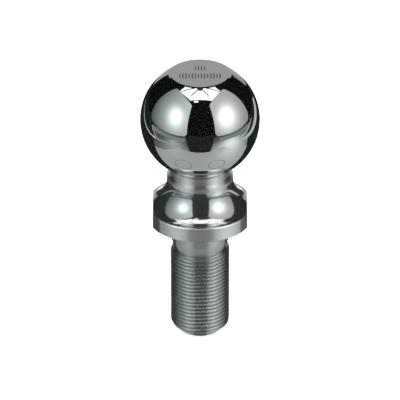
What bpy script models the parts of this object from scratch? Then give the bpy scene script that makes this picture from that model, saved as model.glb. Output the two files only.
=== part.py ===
"""Trailer hitch ball: a polished ball pressed onto a one-piece stem with neck, wrench flange and threaded shank.

Metres, +Z up. The origin is the centre of the shank's end face and +Z runs up the axis to the ball.
The two wrench flats face +X and -X.
"""

import math

import bmesh
import bpy
from mathutils import Matrix

# Driving dimensions
BALL_RADIUS = 0.0254  # 2 inch ball
BALL_CENTRE_Z = 0.1026
BALL_FLAT_RADIUS = 0.0129
FLAT_EDGE_ROUND = 0.0004
THROAT_RADIUS = 0.0127

NECK_RADIUS = 0.0142
NECK_TOP_Z = BALL_CENTRE_Z - 0.0265
NECK_LEDGE = 0.0009  # height of the sloping ledge at the neck's top
FLARE_TOP_Z = BALL_CENTRE_Z - 0.0283
FLARE_UPPER_RADIUS = 0.0138
FLARE_UPPER_SWEEP = math.radians(49)
FLARE_LOWER_RADIUS = 0.0112
FLARE_SWEEP = math.radians(65)

FLANGE_RADIUS = 0.0232
LAND_SLOPE = math.radians(9)  # the nearly flat band between the flare and the flange's edge
EDGE_ROUND = 0.0004
FLANGE_UNDERSIDE_Z = BALL_CENTRE_Z - 0.0473
FLANGE_CHAMFER = 0.0004
ACROSS_FLATS = 0.0404
CORNER_ANGLE = math.radians(30)  # turn of the facets that break the corners of the wrench flats
CORNER_DISTANCE = 0.02265  # from the axis to each corner facet

SHANK_RADIUS = 0.0127  # 1 inch shank
PITCH = 0.0254 / 14  # 14 threads per inch, right hand
THREAD_DEPTH = 0.61 * PITCH
THREAD_TOP_Z = BALL_CENTRE_Z - 0.0615
RELIEF_RADIUS = 0.0110  # waist that the thread runs out into
BODY_RADIUS = 0.0125  # plain shank between the flange and the waist
BODY_END_Z = BALL_CENTRE_Z - 0.0573
BODY_OVERLAP = 0.003  # how far the shank reaches up into the flange before the two are joined
END_RADIUS = 0.0088
END_CHAMFER_SLOPE = math.radians(45)

SPIGOT_RADIUS = 0.0080
SPIGOT_LENGTH = 0.0180
SPIGOT_CHAMFER = 0.0010
FIT_GAP = 0.0003

TURNED_STEPS = 64
THREAD_STEPS = 24


def clear_scene():
    for obj in list(bpy.data.objects):
        bpy.data.objects.remove(obj, do_unlink=True)


def make_material(name, colour, roughness, metallic):
    material = bpy.data.materials.new(name)
    material.use_nodes = True
    shader = material.node_tree.nodes["Principled BSDF"]
    shader.inputs["Base Color"].default_value = (*colour, 1.0)
    shader.inputs["Roughness"].default_value = roughness
    shader.inputs["Metallic"].default_value = metallic
    return material


def finish_object(name, bm, material):
    """Store a bmesh as a named object with its material, shaded smooth with sharp edges kept."""
    bmesh.ops.recalc_face_normals(bm, faces=bm.faces)
    mesh = bpy.data.meshes.new(name)
    bm.to_mesh(mesh)
    bm.free()
    mesh.materials.append(material)
    mesh.shade_smooth()
    mesh.set_sharp_from_angle(angle=math.radians(28))
    obj = bpy.data.objects.new(name, mesh)
    bpy.context.scene.collection.objects.link(obj)
    return obj


def arc(centre, radius, start, end, count):
    """Points (r, z) on an arc, both ends included, with angles in radians from the +r direction."""
    turns = [start + (end - start) * i / count for i in range(count + 1)]
    return [(centre[0] + radius * math.cos(a), centre[1] + radius * math.sin(a)) for a in turns]


def turned_bmesh(profile, steps):
    """Spin an open (r, z) profile, whose two ends lie on the axis, into one closed body."""
    bm = bmesh.new()
    verts = [bm.verts.new((r, 0.0, z)) for r, z in profile]
    edges = [bm.edges.new(pair) for pair in zip(verts, verts[1:])]
    bmesh.ops.spin(
        bm, geom=verts + edges, cent=(0, 0, 0), axis=(0, 0, 1), angle=math.tau, steps=steps, use_merge=True
    )
    bmesh.ops.remove_doubles(bm, verts=bm.verts, dist=1e-7)
    bmesh.ops.dissolve_degenerate(bm, edges=bm.edges, dist=1e-7)
    return bm


def apply_boolean(obj, cutter, operation):
    """Apply an exact Boolean to obj and remove the cutter."""
    modifier = obj.modifiers.new(operation.lower(), "BOOLEAN")
    modifier.operation = operation
    modifier.solver = "EXACT"
    modifier.object = cutter
    graph = bpy.context.evaluated_depsgraph_get()
    result = bpy.data.meshes.new_from_object(obj.evaluated_get(graph))
    result.name = obj.name
    obj.modifiers.clear()
    obj.data = result
    bpy.data.objects.remove(cutter, do_unlink=True)


# Ball


def ball_profile():
    """Flat top, sphere, throat, then up the blind bore that the spigot fits."""
    flat_z = BALL_CENTRE_Z + math.sqrt(BALL_RADIUS**2 - BALL_FLAT_RADIUS**2)
    start = math.acos((BALL_FLAT_RADIUS + FLAT_EDGE_ROUND) / BALL_RADIUS)
    end = -math.acos(THROAT_RADIUS / BALL_RADIUS)
    sphere = arc((0.0, BALL_CENTRE_Z), BALL_RADIUS, start, end, 26)
    throat_z = sphere[-1][1]
    bore = SPIGOT_RADIUS + FIT_GAP
    bore_top = throat_z + SPIGOT_LENGTH + FIT_GAP
    flat = [(0.0, flat_z), (BALL_FLAT_RADIUS - FLAT_EDGE_ROUND, flat_z)]
    return flat + sphere + [(bore, throat_z), (bore, bore_top), (0.0, bore_top)]


def make_ball(material):
    return finish_object("ball", turned_bmesh(ball_profile(), TURNED_STEPS), material)


# Stem


def throat_z():
    return BALL_CENTRE_Z - math.sqrt(BALL_RADIUS**2 - THROAT_RADIUS**2)


def flare_points():
    """The flare from the neck wall to the flange's flat land, in two tangent arcs."""
    centre_r = NECK_RADIUS + FLARE_UPPER_RADIUS
    joint = math.pi + FLARE_UPPER_SWEEP
    upper = arc((centre_r, FLARE_TOP_Z), FLARE_UPPER_RADIUS, math.pi, joint, 9)
    shift = FLARE_UPPER_RADIUS - FLARE_LOWER_RADIUS
    centre = (
        centre_r - shift * math.cos(FLARE_UPPER_SWEEP),
        FLARE_TOP_Z - shift * math.sin(FLARE_UPPER_SWEEP),
    )
    return upper + arc(centre, FLARE_LOWER_RADIUS, joint, math.pi + FLARE_SWEEP, 3)[1:]


def edge_points(flare_end):
    """The land and the rounded edge down to the flange's rim."""
    land_r = FLANGE_RADIUS - EDGE_ROUND * (1 - math.sin(LAND_SLOPE))
    land_z = flare_end[1] - (land_r - flare_end[0]) * math.tan(LAND_SLOPE)
    edge_centre = (FLANGE_RADIUS - EDGE_ROUND, land_z - EDGE_ROUND * math.cos(LAND_SLOPE))
    return arc(edge_centre, EDGE_ROUND, math.pi / 2 - LAND_SLOPE, 0.0, 3)


def stem_profile():
    """Spigot, throat, ledge, neck, flare, flange rim and underside, closed on the axis inside the shank."""
    seat_z = throat_z() - FIT_GAP
    spigot_top = throat_z() + SPIGOT_LENGTH
    spigot = [
        (0.0, spigot_top),
        (SPIGOT_RADIUS - SPIGOT_CHAMFER, spigot_top),
        (SPIGOT_RADIUS, spigot_top - SPIGOT_CHAMFER),
        (SPIGOT_RADIUS, seat_z),
    ]
    throat = [(THROAT_RADIUS, seat_z), (THROAT_RADIUS, NECK_TOP_Z + NECK_LEDGE), (NECK_RADIUS, NECK_TOP_Z)]
    flare = flare_points()
    edge = edge_points(flare[-1])
    rim = [(FLANGE_RADIUS, FLANGE_UNDERSIDE_Z + FLANGE_CHAMFER)]
    underside = [(FLANGE_RADIUS - FLANGE_CHAMFER, FLANGE_UNDERSIDE_Z), (0.0, FLANGE_UNDERSIDE_Z)]
    return spigot + throat + flare + edge + rim + underside


def box_bmesh(low, high):
    bm = bmesh.new()
    bmesh.ops.create_cube(bm, size=1.0)
    for vert in bm.verts:
        vert.co = [a + (b - a) * (c + 0.5) for a, b, c in zip(low, high, vert.co)]
    return bm


def flange_cutter(distance, turn, material):
    """A block that mills a flat on the flange, at a distance from the axis, facing +X turned about Z."""
    low = (distance, -FLANGE_RADIUS, FLANGE_UNDERSIDE_Z - 0.005)
    high = (distance + FLANGE_RADIUS, FLANGE_RADIUS, FLARE_TOP_Z + 0.005)
    bm = box_bmesh(low, high)
    bmesh.ops.rotate(bm, verts=bm.verts, cent=(0, 0, 0), matrix=Matrix.Rotation(turn, 3, "Z"))
    return finish_object("flange_cutter", bm, material)


def thread_radius(z, on_crest):
    """Shank surface at height z, crest or root, cut back by the chamfer at the end."""
    radius = SHANK_RADIUS if on_crest else SHANK_RADIUS - THREAD_DEPTH
    return min(radius, END_RADIUS + z / math.tan(END_CHAMFER_SLOPE))


def threaded_shank_bmesh():
    """The shank as one closed grid whose crest and root lines are real right-hand helices.

    Row k, column i sits at height (k / 2 + i / steps) * pitch, so column i = steps of row k is column 0
    of row k + 2. Rows that would leave the thread's length collapse onto the rings at its two ends.
    """
    bm = bmesh.new()
    rows = 2 * math.ceil(THREAD_TOP_Z / PITCH) + 2
    angles = [math.tau * i / THREAD_STEPS for i in range(THREAD_STEPS)]

    def ring(radius, z):
        return [bm.verts.new((radius * math.cos(a), radius * math.sin(a), z)) for a in angles]

    end_ring = ring(END_RADIUS, 0.0)
    top_ring = ring(RELIEF_RADIUS, THREAD_TOP_Z)
    grid = {}

    def vert(row, column):
        turn, column = divmod(column, THREAD_STEPS)
        row += 2 * turn
        z = (row / 2 + column / THREAD_STEPS) * PITCH
        if z < PITCH / 8:
            return end_ring[column]
        if z > THREAD_TOP_Z - PITCH / 8:
            return top_ring[column]
        if (row, column) not in grid:
            radius = thread_radius(z, row % 2 == 0)
            angle = angles[column]
            grid[row, column] = bm.verts.new((radius * math.cos(angle), radius * math.sin(angle), z))
        return grid[row, column]

    for row in range(-3, rows):
        for column in range(THREAD_STEPS):
            corners = [
                vert(row, column),
                vert(row, column + 1),
                vert(row + 1, column + 1),
                vert(row + 1, column),
            ]
            corners = list(dict.fromkeys(corners))
            if len(corners) > 2:
                bm.faces.new(corners)
    body_ring = ring(BODY_RADIUS, BODY_END_Z)
    hidden_ring = ring(BODY_RADIUS, FLANGE_UNDERSIDE_Z + BODY_OVERLAP)
    rings = [top_ring, body_ring, hidden_ring]
    for lower, upper in zip(rings, rings[1:]):
        for i in range(THREAD_STEPS):
            j = (i + 1) % THREAD_STEPS
            bm.faces.new((lower[i], lower[j], upper[j], upper[i]))
    bm.faces.new(end_ring)
    bm.faces.new(hidden_ring)
    bmesh.ops.triangulate(bm, faces=bm.faces)
    return bm


def make_stem(material):
    stem = finish_object("stem", turned_bmesh(stem_profile(), TURNED_STEPS), material)
    for side in (0.0, math.pi):
        for turn in (side - CORNER_ANGLE, side + CORNER_ANGLE):
            apply_boolean(stem, flange_cutter(CORNER_DISTANCE, turn, material), "DIFFERENCE")
        apply_boolean(stem, flange_cutter(ACROSS_FLATS / 2, side, material), "DIFFERENCE")
    shank = finish_object("shank", threaded_shank_bmesh(), material)
    apply_boolean(stem, shank, "UNION")
    stem.data.shade_smooth()
    stem.data.set_sharp_from_angle(angle=math.radians(28))
    return stem


def main():
    clear_scene()
    chrome = make_material("ball_chrome", (0.62, 0.63, 0.64), 0.05, 1.0)
    steel = make_material("turned_steel", (0.55, 0.56, 0.56), 0.28, 1.0)
    make_ball(chrome)
    make_stem(steel)


main()
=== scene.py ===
"""Visual model of a trailer hitch ball: a chromed ball and its turned stem, in a plain studio.

Metres, in the frame of the CAD model: the origin is the centre of the shank's end face and +Z runs up to
the ball.
"""

import math

import bmesh
import bpy
from mathutils import Matrix, Vector


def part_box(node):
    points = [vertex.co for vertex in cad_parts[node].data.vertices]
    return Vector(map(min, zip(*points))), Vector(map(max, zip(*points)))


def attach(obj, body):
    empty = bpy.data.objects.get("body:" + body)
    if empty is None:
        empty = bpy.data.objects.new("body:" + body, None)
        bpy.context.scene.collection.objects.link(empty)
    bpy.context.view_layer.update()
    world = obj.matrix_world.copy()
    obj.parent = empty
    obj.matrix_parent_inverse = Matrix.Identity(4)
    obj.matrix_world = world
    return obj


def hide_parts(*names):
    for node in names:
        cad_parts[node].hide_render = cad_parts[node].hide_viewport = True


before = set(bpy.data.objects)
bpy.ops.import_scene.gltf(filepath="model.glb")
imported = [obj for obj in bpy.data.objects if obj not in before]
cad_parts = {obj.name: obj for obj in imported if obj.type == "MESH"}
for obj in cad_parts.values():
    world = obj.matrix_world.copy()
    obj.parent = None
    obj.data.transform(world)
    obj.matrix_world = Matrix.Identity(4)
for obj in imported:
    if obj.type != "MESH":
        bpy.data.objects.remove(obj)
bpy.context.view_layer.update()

# Sizes read from the frame
BALL_LOW, BALL_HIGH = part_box("ball")
STEM_LOW, STEM_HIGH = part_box("stem")
BALL_RADIUS = (BALL_HIGH.x - BALL_LOW.x) / 2
BALL_TOP_Z = BALL_HIGH.z
ACROSS_FLATS = STEM_HIGH.x - STEM_LOW.x
FLANGE_RADIUS = STEM_HIGH.y

# Ball and the spigot inside it
BALL_FLAT_RADIUS = 0.0129
BALL_CENTRE_Z = BALL_TOP_Z - math.sqrt(BALL_RADIUS**2 - BALL_FLAT_RADIUS**2)
FLAT_EDGE_ROUND = 0.0004  # on each side of the flat's edge
FLAT_INSET = 0.98  # a ring of points just inside that edge, as a part of the flat's radius
THROAT_RADIUS = 0.0127
THROAT_Z = BALL_CENTRE_Z - math.sqrt(BALL_RADIUS**2 - THROAT_RADIUS**2)
SPIGOT_RADIUS = 0.0080
SPIGOT_LENGTH = 0.0180
SPIGOT_CHAMFER = 0.0010
FIT_GAP = 0.0003  # round the spigot, in place of a press fit
BORE_RADIUS = SPIGOT_RADIUS + FIT_GAP
BORE_DEPTH = SPIGOT_LENGTH + FIT_GAP

# Stamped rows on the flat: (y, slots, slot length)
STAMP_ROWS = ((0.0046, 4, 0.0036), (-0.0025, 14, 0.0042))
STAMP_PITCH = 0.0013
STAMP_SHORT = 0.72  # length of every third slot against the others
STAMP_WIDTH = 0.00012  # at the bottom of a slot
STAMP_DEPTH = 0.00030
STAMP_DRAFT = 0.00020  # how far each wall leans out from the bottom to the flat
STAMP_SHARP_ANGLE = 12  # degrees

# Neck, flare and flange
NECK_RADIUS = 0.0142
NECK_TOP_Z = BALL_CENTRE_Z - 0.0265
NECK_LEDGE = 0.0009  # height of the sloping ledge at the neck's top
FLARE_TOP_Z = BALL_CENTRE_Z - 0.0283
FLARE_UPPER_RADIUS = 0.0138
FLARE_UPPER_SWEEP = math.radians(49)
FLARE_LOWER_RADIUS = 0.0112
FLARE_SWEEP = math.radians(65)
LAND_SLOPE = math.radians(9)  # the nearly flat band between the flare and the flange's edge
EDGE_ROUND = 0.0005
FLANGE_UNDERSIDE_Z = BALL_CENTRE_Z - 0.0473
FLANGE_CHAMFER = 0.0004
EDGE_SOFTNESS = 0.00012  # rounding of the wrench flats' edges
CORNER_AZIMUTH = 60  # degrees; direction of the facets that break the corners of the wrench flats
CORNER_DISTANCE = 0.02265  # from the axis to each of those facets
CORNER_SOFTNESS = EDGE_SOFTNESS / 2
SOFT_REACH = 8  # a soft edge starts to bend this many softnesses before its limit
LARGEST_EXPONENT = 40  # keeps the soft edge's exponential finite

# Shank
SHANK_RADIUS = 0.0127
SHANK_GAP = 0.0001  # between the flange's underside and the shank's own mesh
PITCH = 0.0254 / 14
THREAD_DEPTH = 0.61 * PITCH
ROOT_FLAT = 0.14  # width of the flat at the thread's root, as a part of the pitch
FLANKS = 0.70  # width of the thread's two flanks together, as a part of the pitch
THREAD_TOP_Z = BALL_CENTRE_Z - 0.0615
RUN_OUT_SLOPE = 1.7  # how steeply the thread's crest grows out of the waist, radius over height
WAIST_RADIUS = 0.0110
BODY_RADIUS = 0.0125
BODY_END_Z = BALL_CENTRE_Z - 0.0573
END_RADIUS = 0.0088

# Points in one turn
TURNED_STEPS = 256
FLANGE_STEPS = 384
THREAD_STEPS = 144
THREAD_ROWS = 8  # rows of points in one pitch

# Bands of faces along each stretch of a profile
SPHERE_BANDS = 150
THROAT_BANDS = 4
LEDGE_BANDS = 4
WALL_BANDS = 10
UPPER_FLARE_BANDS = 40
LOWER_FLARE_BANDS = 24
LAND_BANDS = 6
EDGE_BANDS = 8
RIM_BANDS = 24
TAPER_BANDS = 6
BODY_BANDS = 8

SHARP_ANGLE = 35  # degrees; edges that bend more are shaded sharp
SAME_POINT = 1e-7  # profile points nearer than this are one

MICRON = 0.000001
RING_SHADE = 0.92  # colour between the turned rings, against the colour on them
HAZE_SPREAD = 0.15  # part of the roughness that the haze adds or takes away
QUARTER_TURN = 0.25  # turns the anisotropic highlight from round the axis to along it


# Materials


def new_material(name):
    """A material with a plain Principled shader, as (material, nodes, links, shader)."""
    material = bpy.data.materials.new(name)
    material.use_nodes = True
    tree = material.node_tree
    return material, tree.nodes, tree.links, tree.nodes["Principled BSDF"]


def add_math(nodes, links, operation, a, b=None):
    """A maths node on one or two inputs, each a number or another node's output."""
    node = nodes.new("ShaderNodeMath")
    node.operation = operation
    for socket, value in zip(node.inputs, (a, b)):
        if value is None:
            continue
        if isinstance(value, bpy.types.NodeSocket):
            links.new(value, socket)
        else:
            socket.default_value = value
    return node.outputs[0]


def add_noise(nodes, links, vector, scale, detail):
    """Noise of the given scale, in cycles a metre."""
    noise = nodes.new("ShaderNodeTexNoise")
    noise.inputs["Scale"].default_value = scale
    noise.inputs["Detail"].default_value = detail
    links.new(vector, noise.inputs["Vector"])
    return noise.outputs["Fac"]


def add_range(nodes, links, value, low, high):
    """Value from 0 to 1 mapped to low to high."""
    node = nodes.new("ShaderNodeMapRange")
    node.inputs["To Min"].default_value = low
    node.inputs["To Max"].default_value = high
    links.new(value, node.inputs["Value"])
    return node.outputs[0]


def add_bump(nodes, links, shader, height, distance):
    """Bump the shader's surface by height, from 0 to 1 over a distance in metres."""
    bump = nodes.new("ShaderNodeBump")
    bump.inputs["Strength"].default_value = 1.0
    bump.inputs["Distance"].default_value = distance
    links.new(height, bump.inputs["Height"])
    links.new(bump.outputs[0], shader.inputs["Normal"])


def object_vector(nodes):
    return nodes.new("ShaderNodeTexCoord").outputs["Object"]


def radial_distance(nodes, links, vector):
    """Distance from the part's axis."""
    flat = nodes.new("ShaderNodeVectorMath")
    flat.operation = "MULTIPLY"
    flat.inputs[1].default_value = (1, 1, 0)
    links.new(vector, flat.inputs[0])
    length = nodes.new("ShaderNodeVectorMath")
    length.operation = "LENGTH"
    links.new(flat.outputs[0], length.inputs[0])
    return length.outputs["Value"]


def height_above(nodes, links, vector):
    """Height above the part's origin."""
    split = nodes.new("ShaderNodeSeparateXYZ")
    links.new(vector, split.inputs[0])
    return split.outputs["Z"]


def turned_noise(nodes, links, along, scale, detail):
    """Noise that changes only along one length, as a lathe tool leaves it."""
    combine = nodes.new("ShaderNodeCombineXYZ")
    links.new(along, combine.inputs["Z"])
    return add_noise(nodes, links, combine.outputs[0], scale, detail)


def mirror_chrome(name):
    """Polished chrome plate with faint polishing haze."""
    material, nodes, links, shader = new_material(name)
    vector = object_vector(nodes)
    haze = add_noise(nodes, links, vector, scale=90, detail=4)
    shader.inputs["Base Color"].default_value = (0.60, 0.61, 0.615, 1)
    shader.inputs["Metallic"].default_value = 0.994
    links.new(add_range(nodes, links, haze, low=0.02, high=0.06), shader.inputs["Roughness"])
    return material


def turned_metal(name, colour, roughness, groove, pitch, along="height", anisotropy=0.0, metallic=0.97):
    """Plated steel with the fine rings that a lathe leaves.

    groove is the depth of the rings and pitch their typical width, in microns. along is the direction in
    which they change: height on a wall, radius on a face. Below 1, metallic lets the plating look dull.
    anisotropy stretches the reflections along the axis, because the rings run round it.
    """
    material, nodes, links, shader = new_material(name)
    vector = object_vector(nodes)
    measure = height_above if along == "height" else radial_distance
    axis = measure(nodes, links, vector)
    rings = turned_noise(nodes, links, axis, scale=1 / (pitch * MICRON), detail=3)
    haze = add_noise(nodes, links, vector, scale=160, detail=3)
    tint = nodes.new("ShaderNodeMixRGB")
    tint.inputs["Color1"].default_value = (*[c * RING_SHADE for c in colour], 1)
    tint.inputs["Color2"].default_value = (*colour, 1)
    links.new(rings, tint.inputs["Fac"])
    links.new(tint.outputs[0], shader.inputs["Base Color"])
    shader.inputs["Metallic"].default_value = metallic
    rough = add_range(nodes, links, haze, roughness * (1 - HAZE_SPREAD), roughness * (1 + HAZE_SPREAD))
    links.new(rough, shader.inputs["Roughness"])
    shader.inputs["Anisotropic"].default_value = anisotropy
    shader.inputs["Anisotropic Rotation"].default_value = QUARTER_TURN
    if anisotropy:
        tangent = nodes.new("ShaderNodeTangent")
        tangent.direction_type = "RADIAL"
        tangent.axis = "Z"
        links.new(tangent.outputs[0], shader.inputs["Tangent"])
    add_bump(nodes, links, shader, rings, groove * MICRON)
    return material


# Meshes


def arc(centre, radius, start, end, count):
    """Points (r, z) on an arc, both ends included, with angles in radians from the +r direction."""
    turns = [start + (end - start) * i / count for i in range(count + 1)]
    return [(centre[0] + radius * math.cos(a), centre[1] + radius * math.sin(a)) for a in turns]


def straight(first, last, count):
    """Points (r, z) from first to last, both ends included."""
    return [tuple(a + (b - a) * i / count for a, b in zip(first, last)) for i in range(count + 1)]


def soft_limit(value, limit, softness):
    """value, held under limit with a rounded corner."""
    if value < limit - SOFT_REACH * softness:
        return value
    exponent = min((limit - value) / softness, LARGEST_EXPONENT)
    return limit - softness * math.log1p(math.exp(exponent))


def link_mesh(name, verts, faces, materials, face_slots):
    """A mesh object with its materials; face_slots may be None where there is only one."""
    mesh = bpy.data.meshes.new(name)
    mesh.from_pydata(verts, [], faces)
    for material in materials:
        mesh.materials.append(material)
    if face_slots:
        mesh.polygons.foreach_set("material_index", face_slots)
    mesh.shade_smooth()
    mesh.set_sharp_from_angle(angle=math.radians(SHARP_ANGLE))
    mesh.validate()
    obj = bpy.data.objects.new(name, mesh)
    bpy.context.scene.collection.objects.link(obj)
    return obj


def turned_piece(name, sections, steps, materials, shape=None):
    """A closed turned body.

    sections is a list of (points, slot): a run of (r, z) points, top to bottom down the outside, and the
    material slot of the bands between them. The first and last points of all lie on the axis. shape moves
    a point (x, y, z) after it is turned.
    """
    rings = []
    slots = []
    for points, slot in sections:
        for point in points:
            if rings and math.dist(rings[-1], point) < SAME_POINT:
                continue
            rings.append(point)
            slots.append(slot)
    verts = [(0.0, 0.0, rings[0][1])]
    for r, z in rings[1:-1]:
        for i in range(steps):
            angle = math.tau * i / steps
            point = (r * math.cos(angle), r * math.sin(angle), z)
            verts.append(shape(point) if shape else point)
    verts.append((0.0, 0.0, rings[-1][1]))
    last = len(verts) - 1
    faces = []
    face_slots = []
    for i in range(steps):
        j = (i + 1) % steps
        faces.append((0, 1 + i, 1 + j))
        face_slots.append(slots[1])
        tail = last - steps
        faces.append((last, tail + j, tail + i))
        face_slots.append(slots[-1])
    for k in range(len(rings) - 3):
        upper = 1 + k * steps
        lower = upper + steps
        for i in range(steps):
            j = (i + 1) % steps
            faces.append((upper + i, lower + i, lower + j, upper + j))
            face_slots.append(slots[k + 2])
    return link_mesh(name, verts, faces, materials, face_slots)


# Ball


def make_ball(chrome, satin, stamped):
    """The ball with its flat, throat and blind bore; slots 0 sphere, 1 flat, 2 stamped."""
    start = math.acos((BALL_FLAT_RADIUS + FLAT_EDGE_ROUND) / BALL_RADIUS)
    end = -math.acos(THROAT_RADIUS / BALL_RADIUS)
    sphere = arc((0.0, BALL_CENTRE_Z), BALL_RADIUS, start, end, SPHERE_BANDS)
    flat_end = BALL_FLAT_RADIUS - FLAT_EDGE_ROUND
    flat = [(0.0, BALL_TOP_Z), (flat_end * FLAT_INSET, BALL_TOP_Z), (flat_end, BALL_TOP_Z)]
    bore_top = THROAT_Z + BORE_DEPTH
    bore = [(BORE_RADIUS, THROAT_Z), (BORE_RADIUS, bore_top), (0.0, bore_top)]
    sections = [(flat, 1), (sphere, 0), (bore, 0)]
    ball = turned_piece("ball_surface", sections, TURNED_STEPS, [chrome, satin])
    stamp_flat(ball, stamped)
    return ball


def stamp_slot(verts, faces, x, y, length):
    """Add a plain upright slot to the stamp's cutter: a tapered box, half of it below the flat."""
    start = len(verts)
    for z, spread in ((BALL_TOP_Z - STAMP_DEPTH, 0.0), (BALL_TOP_Z + STAMP_DEPTH, 2 * STAMP_DRAFT)):
        half_x = STAMP_WIDTH / 2 + spread
        half_y = length / 2 + spread
        for side_x, side_y in ((-1, -1), (1, -1), (1, 1), (-1, 1)):
            verts.append((x + side_x * half_x, y + side_y * half_y, z))
    quads = ((3, 2, 1, 0), (4, 5, 6, 7), (0, 1, 5, 4), (1, 2, 6, 5), (2, 3, 7, 6), (3, 0, 4, 7))
    faces.extend(tuple(start + i for i in quad) for quad in quads)


def stamp_flat(ball, material):
    """Press two rows of plain slots into the ball's flat, where such balls carry their marking."""
    verts = []
    faces = []
    for row_y, count, full_length in STAMP_ROWS:
        for i in range(count):
            length = full_length * (1.0 if i % 3 else STAMP_SHORT)
            stamp_slot(verts, faces, (i - (count - 1) / 2) * STAMP_PITCH, row_y, length)
    # The cutter carries the darker stamp material, which paints the shade on the slots' walls.
    cutter = link_mesh("stamp_cutter", verts, faces, [material], None)
    modifier = ball.modifiers.new("stamp", "BOOLEAN")
    modifier.operation = "DIFFERENCE"
    modifier.solver = "EXACT"
    modifier.object = cutter
    modifier.material_mode = "TRANSFER"
    graph = bpy.context.evaluated_depsgraph_get()
    mesh = bpy.data.meshes.new_from_object(ball.evaluated_get(graph))
    mesh.shade_smooth()
    mesh.set_sharp_from_angle(angle=math.radians(STAMP_SHARP_ANGLE))
    ball.modifiers.clear()
    ball.data = mesh
    bpy.data.objects.remove(cutter, do_unlink=True)


# Stem


def on_wrench_flats(point):
    """Hold a point of the flange inside the wrench flats and their corner facets, with soft edges."""
    x, y, z = point
    out_x = math.sin(math.radians(CORNER_AZIMUTH))
    out_y = math.cos(math.radians(CORNER_AZIMUTH))
    reach = abs(x) * out_x + abs(y) * out_y
    back = reach - soft_limit(reach, CORNER_DISTANCE, CORNER_SOFTNESS)
    held_x = soft_limit(abs(x) - back * out_x, ACROSS_FLATS / 2, EDGE_SOFTNESS)
    held_y = abs(y) - back * out_y
    return (math.copysign(held_x, x), math.copysign(held_y, y), z)


def flare_points():
    """The flare from the neck wall to the flange's flat land, in two tangent arcs."""
    centre_r = NECK_RADIUS + FLARE_UPPER_RADIUS
    joint = math.pi + FLARE_UPPER_SWEEP
    upper = arc((centre_r, FLARE_TOP_Z), FLARE_UPPER_RADIUS, math.pi, joint, UPPER_FLARE_BANDS)
    shift = FLARE_UPPER_RADIUS - FLARE_LOWER_RADIUS
    centre = (
        centre_r - shift * math.cos(FLARE_UPPER_SWEEP),
        FLARE_TOP_Z - shift * math.sin(FLARE_UPPER_SWEEP),
    )
    lower = arc(centre, FLARE_LOWER_RADIUS, joint, math.pi + FLARE_SWEEP, LOWER_FLARE_BANDS)
    return upper + lower[1:]


def spigot_points():
    """The spigot inside the ball, out to the throat."""
    seat_z = THROAT_Z - FIT_GAP
    spigot_top = THROAT_Z + SPIGOT_LENGTH
    return [
        (0.0, spigot_top),
        (SPIGOT_RADIUS - SPIGOT_CHAMFER, spigot_top),
        (SPIGOT_RADIUS, spigot_top - SPIGOT_CHAMFER),
        (SPIGOT_RADIUS, seat_z),
        (THROAT_RADIUS, seat_z),
    ]


def land_and_edge(flare_end):
    """The flange's land and its rounded upper edge, as two runs of points."""
    land_end_r = FLANGE_RADIUS - EDGE_ROUND * (1 - math.sin(LAND_SLOPE))
    land_end_z = flare_end[1] - (land_end_r - flare_end[0]) * math.tan(LAND_SLOPE)
    land = straight(flare_end, (land_end_r, land_end_z), LAND_BANDS)
    edge_centre = (FLANGE_RADIUS - EDGE_ROUND, land_end_z - EDGE_ROUND * math.cos(LAND_SLOPE))
    edge = arc(edge_centre, EDGE_ROUND, math.pi / 2 - LAND_SLOPE, 0.0, EDGE_BANDS)
    return land, edge


def make_stem_top(neck, flare, rim, underside, painted_highlight_metal):
    """Spigot, throat, neck, flare and flange; slots 0 neck, 1 flare, 2 rim, 3 underside, 4 edges."""
    spigot = spigot_points()
    ledge_top = (THROAT_RADIUS, NECK_TOP_Z + NECK_LEDGE)
    neck_top = (NECK_RADIUS, NECK_TOP_Z)
    flared = flare_points()
    land, edge = land_and_edge(flared[-1])
    low_edge = (FLANGE_RADIUS, FLANGE_UNDERSIDE_Z + FLANGE_CHAMFER)
    below = [low_edge, (FLANGE_RADIUS - FLANGE_CHAMFER, FLANGE_UNDERSIDE_Z), (0.0, FLANGE_UNDERSIDE_Z)]
    sections = [
        (spigot, 0),
        (straight(spigot[-1], ledge_top, THROAT_BANDS), 0),
        (straight(ledge_top, neck_top, LEDGE_BANDS), 4),
        (straight(neck_top, (NECK_RADIUS, FLARE_TOP_Z), WALL_BANDS), 0),
        (flared, 1),
        (land, 1),
        (edge, 4),
        (straight(edge[-1], low_edge, RIM_BANDS), 2),
        (below, 3),
    ]
    materials = [neck, flare, rim, underside, painted_highlight_metal]
    return turned_piece("stem_neck_flange", sections, FLANGE_STEPS, materials, on_wrench_flats)


def thread_height(phase):
    """Height of the thread form, from 0 at the root to 1 at the crest; phase counts pitches."""
    rise = abs(2 * (phase % 1.0) - 1)
    return min(max((rise - ROOT_FLAT) / FLANKS, 0.0), 1.0)


def thread_radius(row, z):
    """Radius of a row of the thread at height z, cut back by the end chamfer and the run-out."""
    radius = SHANK_RADIUS - THREAD_DEPTH * (1 - thread_height(row / THREAD_ROWS))
    run_out = WAIST_RADIUS + (THREAD_TOP_Z - z) * RUN_OUT_SLOPE
    return min(radius, END_RADIUS + z, run_out)


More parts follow.
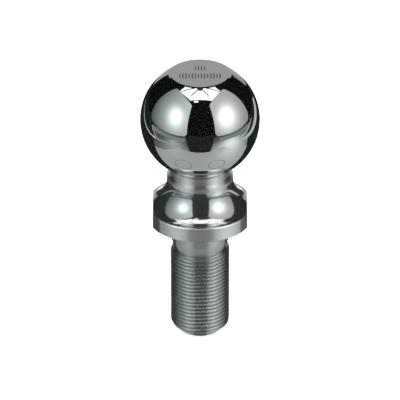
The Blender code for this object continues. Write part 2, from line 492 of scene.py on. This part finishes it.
def make_threaded_shank(plain, thread):
    """Plain body, waist, right-hand thread and end chamfer; slots 0 plain and 1 thread.

    Row k, column i sits at height (k / THREAD_ROWS + i / THREAD_STEPS) * PITCH. Points past an end of the
    thread, or within a third of a row of it, are those of the ring at that end.
    """
    verts = []
    faces = []
    face_slots = []
    angles = [math.tau * i / THREAD_STEPS for i in range(THREAD_STEPS)]

    def ring(radius, z):
        start = len(verts)
        verts.extend((radius * math.cos(a), radius * math.sin(a), z) for a in angles)
        return start

    end_ring = ring(END_RADIUS, 0.0)
    top_ring = ring(WAIST_RADIUS, THREAD_TOP_Z)
    grid = {}
    rows = THREAD_ROWS * math.ceil(THREAD_TOP_Z / PITCH) + THREAD_ROWS
    margin = PITCH / THREAD_ROWS / 3

    def vert(row, column):
        turn, column = divmod(column, THREAD_STEPS)
        row += THREAD_ROWS * turn
        z = (row / THREAD_ROWS + column / THREAD_STEPS) * PITCH
        if z < margin:
            return end_ring + column
        if z > THREAD_TOP_Z - margin:
            return top_ring + column
        if (row, column) not in grid:
            radius = thread_radius(row, z)
            grid[row, column] = len(verts)
            verts.append((radius * math.cos(angles[column]), radius * math.sin(angles[column]), z))
        return grid[row, column]

    for row in range(-THREAD_ROWS - 1, rows):
        for column in range(THREAD_STEPS):
            places = ((row, column), (row, column + 1), (row + 1, column + 1), (row + 1, column))
            corners = tuple(dict.fromkeys(vert(*place) for place in places))
            if len(corners) > 2:
                faces.append(corners)
                face_slots.append(1)
    body_end = (BODY_RADIUS, BODY_END_Z)
    body_top = (BODY_RADIUS, FLANGE_UNDERSIDE_Z - SHANK_GAP)
    plain_points = straight((WAIST_RADIUS, THREAD_TOP_Z), body_end, TAPER_BANDS)[1:]
    plain_points += straight(body_end, body_top, BODY_BANDS)[1:]
    starts = [top_ring] + [ring(r, z) for r, z in plain_points]
    for lower, upper in zip(starts, starts[1:]):
        for i in range(THREAD_STEPS):
            j = (i + 1) % THREAD_STEPS
            faces.append((lower + i, lower + j, upper + j, upper + i))
            face_slots.append(0)
    faces.append(tuple(range(end_ring + THREAD_STEPS - 1, end_ring - 1, -1)))
    face_slots.append(1)
    faces.append(tuple(range(starts[-1], starts[-1] + THREAD_STEPS)))
    face_slots.append(0)
    return link_mesh("stem_threaded_shank", verts, faces, [plain, thread], face_slots)


# Studio


def aim(azimuth, elevation=0.0):
    """Unit direction; azimuth 0 is towards the camera (-Y) and positive to its right (+X), in degrees."""
    a = math.radians(azimuth)
    e = math.radians(elevation)
    return Vector((math.cos(e) * math.sin(a), -math.cos(e) * math.cos(a), math.sin(e)))


def reflected_only(obj):
    """Show a studio panel only in the metal's reflections."""
    obj.visible_camera = False
    obj.visible_diffuse = False
    obj.visible_transmission = False
    obj.visible_volume_scatter = False
    obj.visible_shadow = False


def glow_material(name, base, glows):
    """Emission of a base radiance plus soft glows in the panel's own plane.

    base is (colour, slope_x, slope_y): a radiance and what part of it is added a metre along X and Y. Each
    glow is (x, y, turn, length, width, strength), with turn the angle of its long side in degrees and
    strength in multiples of the base.
    """
    material = bpy.data.materials.new(name)
    material.use_nodes = True
    nodes = material.node_tree.nodes
    links = material.node_tree.links
    nodes.clear()
    split = nodes.new("ShaderNodeSeparateXYZ")
    links.new(object_vector(nodes), split.inputs[0])
    x = split.outputs["X"]
    y = split.outputs["Y"]

    def weighted(weight_x, weight_y, offset):
        part_x = add_math(nodes, links, "MULTIPLY", x, weight_x)
        part_y = add_math(nodes, links, "MULTIPLY", y, weight_y)
        return add_math(nodes, links, "ADD", add_math(nodes, links, "ADD", part_x, part_y), offset)

    colour, slope_x, slope_y = base
    level = add_math(nodes, links, "MAXIMUM", weighted(slope_x, slope_y, 1.0), 0.0)
    for glow_x, glow_y, turn, length, width, strength in glows:
        cosine = math.cos(math.radians(turn))
        sine = math.sin(math.radians(turn))
        along = weighted(cosine / length, sine / length, -(glow_x * cosine + glow_y * sine) / length)
        across = weighted(-sine / width, cosine / width, (glow_x * sine - glow_y * cosine) / width)
        square = add_math(
            nodes, links, "ADD",
            add_math(nodes, links, "MULTIPLY", along, along),
            add_math(nodes, links, "MULTIPLY", across, across),
        )
        falloff = add_math(nodes, links, "EXPONENT", add_math(nodes, links, "MULTIPLY", square, -1.0))
        level = add_math(nodes, links, "ADD", level, add_math(nodes, links, "MULTIPLY", falloff, strength))
    emission = nodes.new("ShaderNodeEmission")
    emission.inputs["Color"].default_value = (*colour, 1)
    links.new(level, emission.inputs["Strength"])
    output = nodes.new("ShaderNodeOutputMaterial")
    links.new(emission.outputs[0], output.inputs["Surface"])
    return material


def plain_glow(name, colour):
    """The same radiance all over a panel."""
    return glow_material(name, (colour, 0, 0), [])


def stage_panel(name, verts, faces, matrix, material):
    """A studio panel from a mesh in its own XY plane, seen only in reflections."""
    mesh = bpy.data.meshes.new(name)
    mesh.from_pydata(verts, [], faces)
    mesh.materials.append(material)
    obj = bpy.data.objects.new(name, mesh)
    obj.matrix_world = matrix
    bpy.context.scene.collection.objects.link(obj)
    reflected_only(obj)


def panel(name, outline, matrix, material):
    """A flat studio panel from its outline."""
    stage_panel(name, [(x, y, 0.0) for x, y in outline], [tuple(range(len(outline)))], matrix, material)


def cut_corner_box(left, right, low, high, corner):
    """Outline of a rectangle with cut corners."""
    return [
        (left + corner, low), (right - corner, low), (right, low + corner), (right, high - corner),
        (right - corner, high), (left + corner, high), (left, high - corner), (left, low + corner),
    ]


def upright(azimuth, distance):
    """Matrix of an upright panel facing the ball; its X runs to larger azimuths and its Y up."""
    across = Vector((math.cos(math.radians(azimuth)), math.sin(math.radians(azimuth)), 0.0))
    centre = Vector((0, 0, BALL_CENTRE_Z)) + aim(azimuth) * distance
    up = Vector((0, 0, 1))
    return Matrix.Translation(centre) @ Matrix((across, up, across.cross(up))).transposed().to_4x4()


# Softboxes
SOFTBOX_DISTANCE = 0.60
SOFTBOX_CORNER = 0.07
CORE_LEVEL = 1.5  # radiance of the small bright core
HAZE_SIZE = 0.43  # radius of the wide haze round it


def softbox(
    name, azimuth, half_angle, low, high, tint, level, slope_x, slope_y, core, core_size, haze_level
):
    """A softbox seen from the ball over azimuth +- half_angle and from low to high degrees of elevation.

    level is its radiance at the azimuth and the height of the ball's centre. slope_x and slope_y are the
    parts of it that are added a metre to larger azimuths and upwards. core is the azimuth and elevation of
    the bright core.
    """
    d = SOFTBOX_DISTANCE
    half = d * math.tan(math.radians(half_angle))
    bottom = d * math.tan(math.radians(low))
    top = d * math.tan(math.radians(high))
    turn = math.radians(core[0] - azimuth)
    core_x = d * math.tan(turn)
    core_y = d * math.tan(math.radians(core[1])) / math.cos(turn)
    colour = tuple(c * level for c in tint)
    bright = (core_x, core_y, 0.0, core_size[0], core_size[1], CORE_LEVEL / level)
    haze = (core_x, core_y, 0.0, HAZE_SIZE, HAZE_SIZE, haze_level / level)
    material = glow_material(name + "_glow", (colour, slope_x, slope_y), [bright, haze])
    outline = cut_corner_box(-half, half, bottom, top, SOFTBOX_CORNER)
    panel(name, outline, upright(azimuth, d), material)


def make_softboxes():
    """The softboxes on the object's two sides."""
    softbox(
        "softbox_left",
        azimuth=-66,
        half_angle=42,
        low=-9,
        high=60,
        tint=(0.90, 1.0, 0.99),
        level=0.37,
        slope_x=1.4,
        slope_y=0.8,
        core=(-51.5, 23),
        core_size=(0.18, 0.205),
        haze_level=0.28,
    )
    softbox(
        "softbox_right",
        azimuth=67,
        half_angle=39,
        low=-9,
        high=59,
        tint=(0.985, 1.0, 0.965),
        level=0.42,
        slope_x=-0.25,
        slope_y=0.7,
        core=(56, 22),
        core_size=(0.20, 0.22),
        haze_level=0.45,
    )


OVAL_POINTS = 24
SECTOR_SPANS = 12


def level_panel(z):
    """Matrix of a panel that lies level at height z."""
    return Matrix.Translation((0, 0, z))


def streak(azimuth, distance, length, width, strength):
    """A glow on the ground that runs away from the object."""
    centre = aim(azimuth) * distance
    turn = azimuth - 90  # the same direction, counted from +X
    return (centre.x, centre.y, turn, length, width, strength)


def ring_sector(inner, outer, first, last):
    """Outline of a part of a ring round the object, between two radii and two azimuths."""
    turns = [first + (last - first) * i / SECTOR_SPANS for i in range(SECTOR_SPANS + 1)]
    points = [aim(a) * inner for a in turns] + [aim(a) * outer for a in reversed(turns)]
    return [(point.x, point.y) for point in points]


def ribbon(name, points, width, z, material, closed=False):
    """A level strip of constant width through the given points (x, y)."""
    path = [Vector(p) for p in points]
    verts = []
    for i, point in enumerate(path):
        before = path[i - 1] if i or closed else point
        after = path[(i + 1) % len(path)] if i + 1 < len(path) or closed else point
        side = (after - before).normalized().orthogonal() * width / 2
        for offset in (side, -side):
            verts.append((point.x + offset.x, point.y + offset.y, 0.0))
    spans = len(path) if closed else len(path) - 1
    faces = []
    for i in range(spans):
        j = (i + 1) % len(path)
        faces.append((2 * i, 2 * i + 1, 2 * j + 1, 2 * j))
    stage_panel(name, verts, faces, level_panel(z), material)


def oval(centre, radius_x, radius_y):
    """Points (x, y) round an ellipse."""
    turns = [math.tau * i / OVAL_POINTS for i in range(OVAL_POINTS)]
    return [(centre[0] + radius_x * math.cos(a), centre[1] + radius_y * math.sin(a)) for a in turns]


# Overhead panel
OVERHEAD_Z = BALL_CENTRE_Z + 0.80
FRAME_DROP = 0.01  # how far the hub and ribs hang below the panel
RIB_WIDTH = 0.026
OVERHEAD_OUTLINE = (
    (-0.27, -0.385),
    (0.35, -0.378),
    (0.53, 0.03),
    (0.36, 0.085),
    (0.36, 0.35),
    (-0.36, 0.35),
    (-0.36, 0.085),
    (-0.53, 0.03),
)
RIBS = (
    ((-0.03, -0.05), (-0.222, -0.228)),
    ((0.03, -0.05), (0.220, -0.228)),
    ((-0.03, -0.015), (-0.50, -0.012)),
    ((0.03, -0.015), (0.50, 0.005)),
)


def make_overhead():
    """The overhead panel, with its hub, ribs and a small second panel in front of it."""
    white = plain_glow("overhead_glow", (1.9, 1.9, 1.9))
    dark = plain_glow("overhead_frame", (0.03, 0.03, 0.03))
    panel("overhead_panel", OVERHEAD_OUTLINE, level_panel(OVERHEAD_Z), white)
    small = cut_corner_box(-0.172, -0.048, -0.47, -0.408, 0.01)
    panel("overhead_small", small, level_panel(OVERHEAD_Z), white)
    frame_z = OVERHEAD_Z - FRAME_DROP
    panel("overhead_hub", oval((0, -0.03), 0.068, 0.066), level_panel(frame_z), dark)
    for index, rib in enumerate(RIBS):
        ribbon(f"overhead_rib_{index}", rib, RIB_WIDTH, frame_z, dark)


# Heights of the level panels under the object, from the lowest to the highest
DARK_Z = -0.003
GROUND_Z = -0.002
GROUND_FAR_Z = -0.0015
GLEAM_LEFT_Z = -0.0012
RIM_RIGHT_Z = -0.0011
TABLE_Z = -0.001
CLAMP_Z = -0.0005
SHADE_Z = -0.0004

PALE = (0.47, 0.48, 0.475)


def make_table():
    """The table card under the object, with the clamp's two rings and a dark spot of painted shadow at the
    shank's foot.
    """
    glows = [streak(-50, 0.15, 0.07, 0.05, 0.22), streak(60, 0.15, 0.08, 0.06, 0.8)]
    table = glow_material("table_glow", ((0.49, 0.52, 0.495), 0, 0), glows)
    outline = [(-0.118, -0.147), (0.135, -0.147), (0.135, 0.037), (-0.135, 0.022)]
    panel("table_card", outline, level_panel(TABLE_Z), table)
    clamp = plain_glow("clamp_glow", (0.33, 0.39, 0.40))
    for side in (-1, 1):
        ring = oval((side * 0.041, -0.040), 0.021, 0.026)
        ribbon(f"clamp_{side}", ring, 0.004, CLAMP_Z, clamp, closed=True)
    # A dark patch of painted shadow, where the shank shades the table, for the end chamfer to mirror.
    shade = plain_glow("contact_shade_glow", (0.05, 0.05, 0.05))
    panel("contact_shade", oval((0, -0.0095), 0.0036, 0.0016), level_panel(SHADE_Z), shade)


def make_table_edges():
    """The bright edges of the table, behind the object on its left and right."""
    rim = plain_glow("table_rim_glow", (1.05, 1.10, 1.12))
    left_rim = [(-0.30, 0.40), (-0.287, 0.27), (-0.252, 0.16), (-0.225, 0.07), (-0.216, -0.006)]
    ribbon("table_rim_left", left_rim, 0.014, TABLE_Z, rim)
    gleam = plain_glow("table_gleam_glow", (0.66, 0.69, 0.71))
    left_gleam = [(-0.45, 0.075), (-0.29, 0.012), (-0.217, -0.025), (-0.196, -0.112)]
    ribbon("table_gleam_left", left_gleam, 0.011, GLEAM_LEFT_Z, gleam)
    right_gleam = [(0.55, 0.22), (0.32, 0.045), (0.264, -0.035)]
    ribbon("table_gleam_right", right_gleam, 0.026, TABLE_Z, gleam)
    inner = [(0.19, -0.01), (0.20, 0.09), (0.22, 0.19), (0.27, 0.36), (0.33, 0.48)]
    outer = [(0.222, -0.02), (0.26, 0.09), (0.34, 0.21), (0.44, 0.40), (0.52, 0.62)]
    panel("table_rim_right", outer + inner[::-1], level_panel(RIM_RIGHT_Z), gleam)


def make_ground():
    """The dim ground round the table, lit in front of each softbox, and the dark beyond it."""
    glows = [streak(-48, 0.24, 0.18, 0.075, 4.2), streak(58, 0.24, 0.19, 0.10, 11.0)]
    ground = glow_material("ground_glow", ((0.10, 0.108, 0.104), 0, 0), glows)
    left = [(-0.05, -0.147), (-0.30, -0.62), (-0.75, -0.45), (-0.62, 0.02), (-0.13, 0.02)]
    right = [(0.05, -0.147), (0.13, 0.03), (0.62, 0.06), (0.75, -0.45), (0.30, -0.62)]
    panel("ground_left", left[::-1], level_panel(GROUND_Z), ground)
    panel("ground_right", right[::-1], level_panel(GROUND_Z), ground)
    far = plain_glow("ground_far_glow", (0.29, 0.315, 0.295))
    panel("ground_far_left", ring_sector(0.34, 0.53, -98, -27), level_panel(GROUND_FAR_Z), far)
    panel("ground_far_right", ring_sector(0.34, 0.53, 35, 104), level_panel(GROUND_FAR_Z), far)
    dark = plain_glow("ground_dark_glow", (0.015, 0.016, 0.016))
    panel("ground_dark", cut_corner_box(-1.2, 1.2, -1.2, 1.2, 0.1), level_panel(DARK_Z), dark)


def make_backdrop():
    """The pale paper behind the object and the upright backdrop at its far end."""
    paper = glow_material("paper_glow", (PALE, 0, 0), [(0, 0.26, 0, 0.4, 0.25, 4.5)])
    edge = [(0.045, 0.20), (0.09, 0.36), (0.17, 0.60), (0.50, 0.95), (0.62, 1.15)]
    outline = edge + [(-x, y) for x, y in reversed(edge)]
    panel("paper", outline, level_panel(TABLE_Z), paper)
    backdrop = glow_material("backdrop_glow", (PALE, 0, 0), [(0, 0.05, 0, 0.25, 0.22, 1.1)])
    panel("backdrop", cut_corner_box(-0.62, 0.62, -0.11, 0.80, 0.02), upright(180, 1.15), backdrop)
    panel("backdrop_edge", cut_corner_box(-0.015, 0.02, -0.03, 0.30, 0.01), upright(149, 1.1), backdrop)


def make_studio():
    """Everything that is seen only in reflections."""
    make_softboxes()
    make_overhead()
    make_table()
    make_table_edges()
    make_ground()
    make_backdrop()


def make_floor():
    """A wide pale floor that the metal doesn't mirror."""
    material, nodes, links, shader = new_material("floor_paper")
    vector = object_vector(nodes)
    mottle = add_noise(nodes, links, vector, scale=3, detail=2)
    tint = nodes.new("ShaderNodeMixRGB")
    tint.inputs["Color1"].default_value = (0.90, 0.90, 0.90, 1)
    tint.inputs["Color2"].default_value = (0.93, 0.93, 0.93, 1)
    links.new(mottle, tint.inputs["Fac"])
    links.new(tint.outputs[0], shader.inputs["Base Color"])
    shader.inputs["Emission Color"].default_value = (1, 1, 1, 1)
    shader.inputs["Emission Strength"].default_value = 0.45
    shader.inputs["Roughness"].default_value = 0.9
    shader.inputs["Specular IOR Level"].default_value = 0.0
    bm = bmesh.new()
    bmesh.ops.create_circle(bm, cap_ends=True, segments=96, radius=9.0)
    mesh = bpy.data.meshes.new("floor")
    bm.to_mesh(mesh)
    bm.free()
    mesh.materials.append(material)
    obj = bpy.data.objects.new("floor", mesh)
    bpy.context.scene.collection.objects.link(obj)
    obj.visible_glossy = False


def make_lights():
    """Soft light, and a white surround that the metal doesn't mirror."""
    light = bpy.data.lights.new("soft_sun", "SUN")
    light.energy = 3.0
    light.angle = math.radians(90)
    obj = bpy.data.objects.new("soft_sun", light)
    obj.rotation_euler = (math.radians(20), 0, math.radians(10))
    bpy.context.scene.collection.objects.link(obj)
    obj.visible_glossy = False
    world = bpy.data.worlds.new("white_surround")
    world.use_nodes = True
    background = world.node_tree.nodes["Background"]
    background.inputs["Color"].default_value = (1, 1, 1, 1)
    background.inputs["Strength"].default_value = 1.0
    world.cycles_visibility.glossy = False
    bpy.context.scene.world = world
    bpy.context.scene.view_settings.view_transform = "Standard"


CAMERA_DISTANCE = 1.5  # from the ball's centre
CAMERA_ELEVATION = 28.4
CAMERA_TARGET_Z = BALL_CENTRE_Z - 0.0395
CAMERA_LENS = 318.8
SENSOR_WIDTH = 36.0


def make_camera():
    """A long lens that looks down on the ball."""
    data = bpy.data.cameras.new("camera")
    data.lens = CAMERA_LENS
    data.sensor_width = SENSOR_WIDTH
    data.clip_start = 0.05
    data.clip_end = 30.0
    camera = bpy.data.objects.new("camera", data)
    camera.location = Vector((0, 0, BALL_CENTRE_Z)) + aim(0, CAMERA_ELEVATION) * CAMERA_DISTANCE
    look = Vector((0, 0, CAMERA_TARGET_Z)) - camera.location
    camera.rotation_mode = "QUATERNION"
    camera.rotation_quaternion = look.to_track_quat("-Z", "Y")
    bpy.context.scene.collection.objects.link(camera)
    bpy.context.scene.camera = camera


def make_object():
    """Build the three pieces, hide the CAD node that each stands for, and attach each to the root body."""
    chrome = mirror_chrome("mirror_chrome")
    flat = turned_metal("ball_flat_satin", (0.60, 0.61, 0.60), 0.13, 4, 500, along="radius")
    # The stamp's walls are rougher than the flat, and darker as painted shade inside the slots.
    stamped = turned_metal("stamp_painted_shade", (0.34, 0.35, 0.345), 0.42, 4, 500, along="radius")
    neck = turned_metal("neck_satin", (0.70, 0.72, 0.695), 0.47, 5, 400, anisotropy=1.0, metallic=0.93)
    flare = turned_metal("flare_polish", (0.595, 0.61, 0.61), 0.10, 3, 800)
    rim = turned_metal("rim_satin", (0.68, 0.70, 0.68), 0.41, 6, 300, anisotropy=1.0)
    # Brighter than the rim's metal, so the flange's rounded edge and the neck's ledge mirror a stronger,
    # painted highlight.
    edge = turned_metal("edge_painted_highlight", (0.95, 0.96, 0.95), 0.30, 2, 400, anisotropy=1.0)
    under = turned_metal("underside_satin", (0.58, 0.58, 0.58), 0.25, 10, 500, along="radius")
    body = turned_metal("body_satin", (0.52, 0.545, 0.53), 0.34, 6, 300, anisotropy=1.0, metallic=0.95)
    thread = turned_metal("thread_steel", (0.41, 0.43, 0.435), 0.26, 3, 200, anisotropy=0.9, metallic=0.93)
    pieces = (
        (make_ball(chrome, flat, stamped), "ball", "mirror_chrome"),
        (make_stem_top(neck, flare, rim, under, edge), "stem", "turned_chrome"),
        (make_threaded_shank(body, thread), "stem", "turned_chrome"),
    )
    for piece, node, slot in pieces:
        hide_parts(node)
        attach(piece, "root")


make_object()
make_studio()
make_floor()
make_lights()
make_camera()
